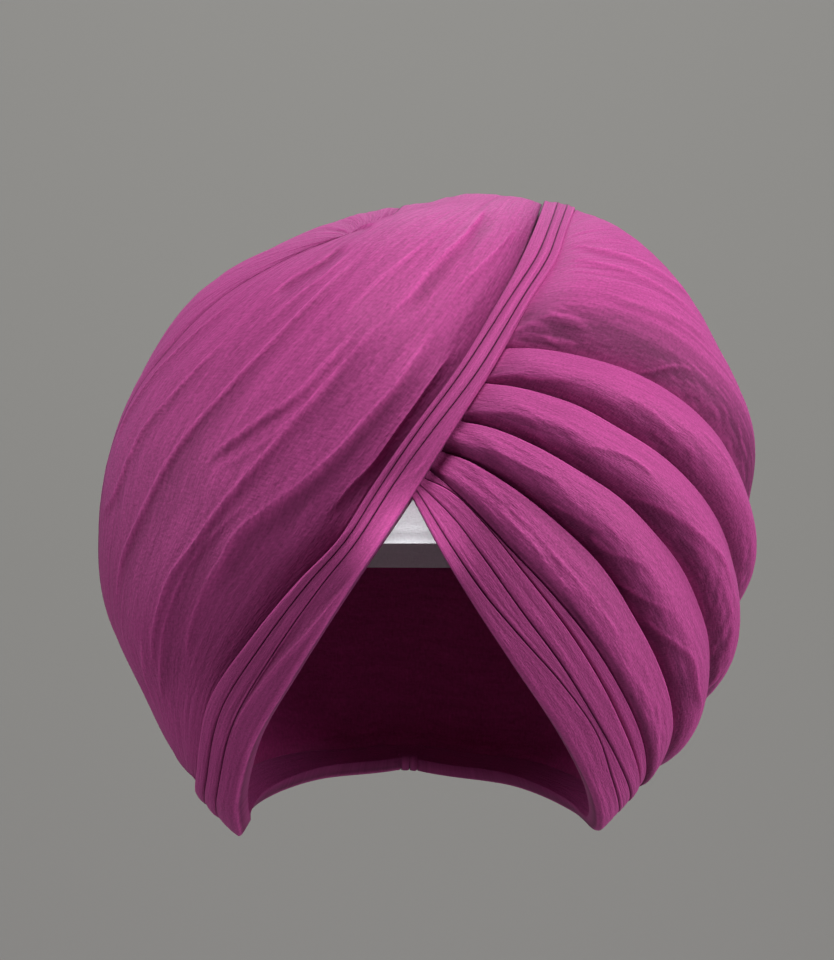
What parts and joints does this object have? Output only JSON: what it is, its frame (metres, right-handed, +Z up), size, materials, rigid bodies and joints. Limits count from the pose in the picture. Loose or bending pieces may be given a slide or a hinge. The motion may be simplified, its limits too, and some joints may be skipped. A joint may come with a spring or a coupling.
{
  "type": "turban",
  "caption": "Wound cotton turban as worn, with a V opening at the brow, nested folded wraps on one side, a diagonal pleated edge and a white band under it.",
  "frame": {"origin": "top of the hollow, where the crown of the wearer's head touches it", "axes": "+Z up, -Y the way the brow faces, +X towards the viewer's right (the wearer's left)"},
  "size_m": [0.2645, 0.2771, 0.2559],
  "materials": {
    "magenta_cotton": "matt plain-woven cotton",
    "magenta_cotton_inner": "matt plain-woven cotton, the wraps underneath",
    "white_cotton": "matt white cotton"
  },
  "bodies": {
    "root": {"under_band": "white_cotton", "inner_wraps": "magenta_cotton_inner", "left_wrap": "magenta_cotton", "back_wrap": "magenta_cotton_inner", "edge_pleat_1": "magenta_cotton", "edge_pleat_2": "magenta_cotton", "edge_pleat_3": "magenta_cotton", "right_layer_1": "magenta_cotton", "right_layer_2": "magenta_cotton", "right_layer_3": "magenta_cotton", "right_layer_4": "magenta_cotton", "right_layer_5": "magenta_cotton", "right_pleat_1": "magenta_cotton", "right_pleat_2": "magenta_cotton", "right_pleat_3": "magenta_cotton", "right_pleat_4": "magenta_cotton"}
  },
  "joints": []
}
